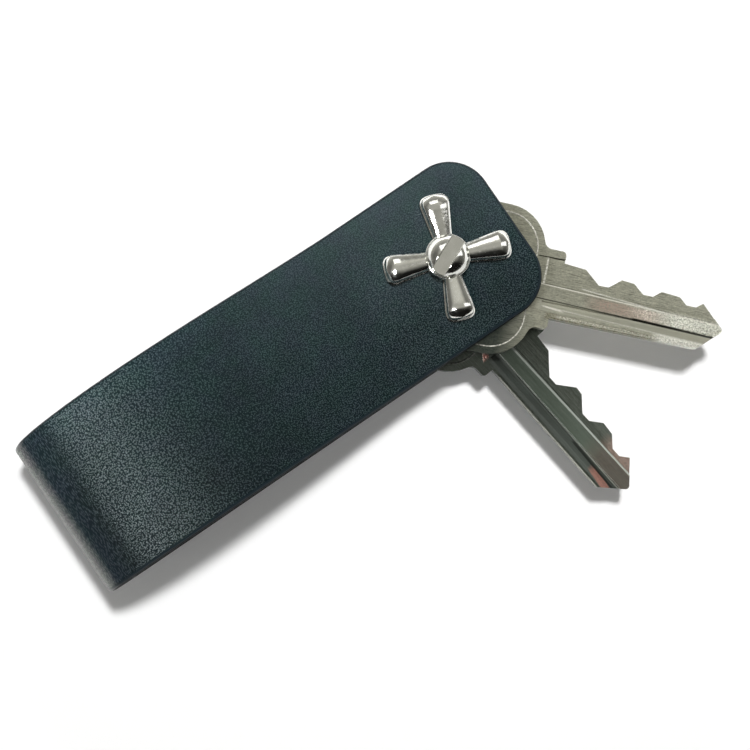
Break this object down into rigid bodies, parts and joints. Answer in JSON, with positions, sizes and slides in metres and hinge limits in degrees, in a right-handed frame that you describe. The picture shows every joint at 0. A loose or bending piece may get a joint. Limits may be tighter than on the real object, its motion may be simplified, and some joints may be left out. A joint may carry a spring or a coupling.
{
  "type": "leather key holder",
  "caption": "Lined leather strap folded into a loop, its ends clamped on a post by a slotted screw through a four-armed knob, with swinging house keys between them.",
  "frame": {"origin": "centre of the flat back of the rear post's head, on the axis that the keys and the screw turn on", "axes": "+X along the strap towards its clamped ends, +Y across the strap, away from the keys' side, +Z along the post from its head to the knob"},
  "size_m": [0.0971, 0.0564, 0.02],
  "materials": {
    "leather_outer": "fine pebbled grain, low sheen",
    "leather_lining": "smooth, matt",
    "chrome": "polished",
    "key_nickel": "nickel plated, fine brushing, worn",
    "washer_nylon": "matt"
  },
  "bodies": {
    "strap": {"outer_leather": "leather_outer", "lining_leather": "leather_lining", "rear_post": "chrome", "rear_washer": "washer_nylon", "middle_washer": "washer_nylon", "front_washer": "washer_nylon"},
    "rear_key": {"rear_key": "key_nickel"},
    "front_key": {"front_key": "key_nickel"},
    "knob": {"cross_knob": "chrome"},
    "screw": {"dome_screw": "chrome"}
  },
  "joints": [
    {"name": "front_key_swing", "type": "hinge", "parent": "strap", "child": "front_key", "pos_m": [0, 0, 0.0089], "axis": [0, 0, 1], "continuous": true},
    {"name": "rear_key_swing", "type": "hinge", "parent": "strap", "child": "rear_key", "pos_m": [0, 0, 0.0058], "axis": [0, 0, 1], "continuous": true},
    {"name": "knob_lift", "type": "slide", "parent": "strap", "child": "knob", "axis": [0, 0, 1], "range_m": [0, 0.0045]},
    {"name": "screw_turn", "type": "hinge", "parent": "knob", "child": "screw", "pos_m": [0, 0, 0.0151], "axis": [0, 0, 1], "range_deg": [0, 3241]}
  ],
  "couplings": [
    {"joint": "screw_turn", "follows": "knob_lift", "rad_per_m": 12566}
  ]
}
